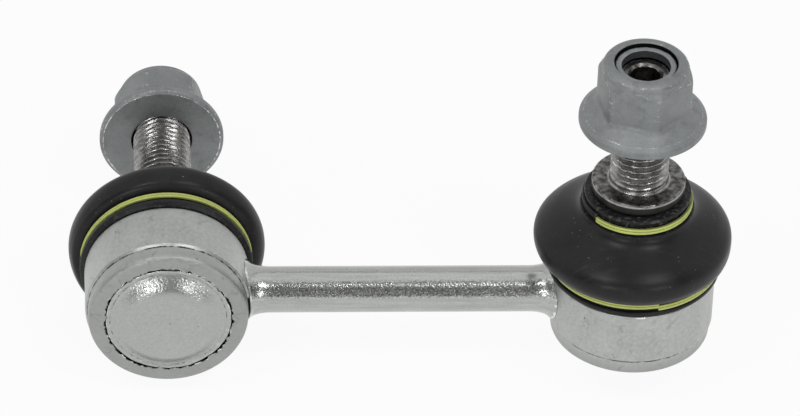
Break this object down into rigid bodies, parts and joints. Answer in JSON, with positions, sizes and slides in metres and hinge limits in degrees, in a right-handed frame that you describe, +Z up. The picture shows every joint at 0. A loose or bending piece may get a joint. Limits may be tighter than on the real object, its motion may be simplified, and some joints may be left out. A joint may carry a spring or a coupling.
{
  "type": "stabilizer link",
  "caption": "Short stabilizer link: a steel rod between ball joints set a quarter turn apart, each with a rubber boot, clamp rings, threaded stud and flange lock nut.",
  "frame": {"origin": "centre of the whole link's box", "axes": "+X along the rod from the left joint to the right joint, +Y along the left stud, +Z up along the right stud"},
  "size_m": [0.1142, 0.0714, 0.0662],
  "materials": {
    "zinc_plated_steel": "bright zinc plating, satin, fine grain",
    "nut_steel": "matt blue-grey zinc, worn bright on the corners",
    "stud_steel": "machined and rolled bare steel, oily",
    "boot_rubber": "moulded black rubber, soft sheen",
    "ring_wire": "yellow-green coated flat wire",
    "shell_plastic": "natural acetal",
    "insert_nylon": "grey nylon"
  },
  "bodies": {
    "link": {"rod": "zinc_plated_steel", "left_housing": "zinc_plated_steel", "left_closure_plate": "zinc_plated_steel", "left_bearing_shell": "shell_plastic", "left_lower_clamp_ring": "ring_wire", "right_housing": "zinc_plated_steel", "right_closure_plate": "zinc_plated_steel", "right_bearing_shell": "shell_plastic", "right_lower_clamp_ring": "ring_wire"},
    "left_boot_middle": {"left_boot": "boot_rubber"},
    "left_boot_neck": {"left_upper_clamp_ring": "ring_wire"},
    "left_stud": {"left_ball_stud": "stud_steel"},
    "left_nut_slider": {"left_nut_insert": "insert_nylon"},
    "left_nut": {"left_flange_nut": "nut_steel"},
    "right_boot_middle": {"right_boot": "boot_rubber"},
    "right_boot_neck": {"right_upper_clamp_ring": "ring_wire"},
    "right_stud": {"right_ball_stud": "stud_steel"},
    "right_nut_slider": {"right_nut_insert": "insert_nylon"},
    "right_nut": {"right_flange_nut": "nut_steel"}
  },
  "joints": [
    {"name": "left_tilt_sideways", "type": "hinge", "parent": "link", "child": "left_boot_middle", "pos_m": [-0.04, -0.0186, -0.016], "axis": [1, 0, 0], "range_deg": [-20, 20], "deforming": ["left_boot"]},
    {"name": "left_tilt_lengthwise", "type": "hinge", "parent": "left_boot_middle", "child": "left_boot_neck", "pos_m": [-0.04, -0.0186, -0.016], "axis": [0, 0, 1], "range_deg": [-20, 20], "deforming": ["left_boot"]},
    {"name": "left_stud_spin", "type": "hinge", "parent": "left_boot_neck", "child": "left_stud", "pos_m": [-0.04, -0.0186, -0.016], "axis": [0, 1, 0], "continuous": true},
    {"name": "left_nut_travel", "type": "slide", "parent": "left_stud", "child": "left_nut_slider", "axis": [0, 1, 0], "range_m": [-0.0169, 0.0051], "deforming": ["left_nut_insert"]},
    {"name": "left_nut_turn", "type": "hinge", "parent": "left_nut_slider", "child": "left_nut", "pos_m": [-0.04, 0.0229, -0.016], "axis": [0, 1, 0], "range_deg": [-4860, 1465]},
    {"name": "right_tilt_sideways", "type": "hinge", "parent": "link", "child": "right_boot_middle", "pos_m": [0.04, -0.0186, -0.016], "axis": [1, 0, 0], "range_deg": [-20, 20], "deforming": ["right_boot"]},
    {"name": "right_tilt_lengthwise", "type": "hinge", "parent": "right_boot_middle", "child": "right_boot_neck", "pos_m": [0.04, -0.0186, -0.016], "axis": [0, 1, 0], "range_deg": [-20, 20], "deforming": ["right_boot"]},
    {"name": "right_stud_spin", "type": "hinge", "parent": "right_boot_neck", "child": "right_stud", "pos_m": [0.04, -0.0186, -0.016], "axis": [0, 0, 1], "continuous": true},
    {"name": "right_nut_travel", "type": "slide", "parent": "right_stud", "child": "right_nut_slider", "axis": [0, 0, 1], "range_m": [-0.0117, 0.0103], "deforming": ["right_nut_insert"]},
    {"name": "right_nut_turn", "type": "hinge", "parent": "right_nut_slider", "child": "right_nut", "pos_m": [0.04, -0.0186, 0.0203], "axis": [0, 0, 1], "range_deg": [-3365, 2960]}
  ],
  "couplings": [
    {"joint": "left_nut_travel", "follows": "left_nut_turn", "m_per_rad": 0.00019894},
    {"joint": "right_nut_travel", "follows": "right_nut_turn", "m_per_rad": 0.00019894}
  ]
}
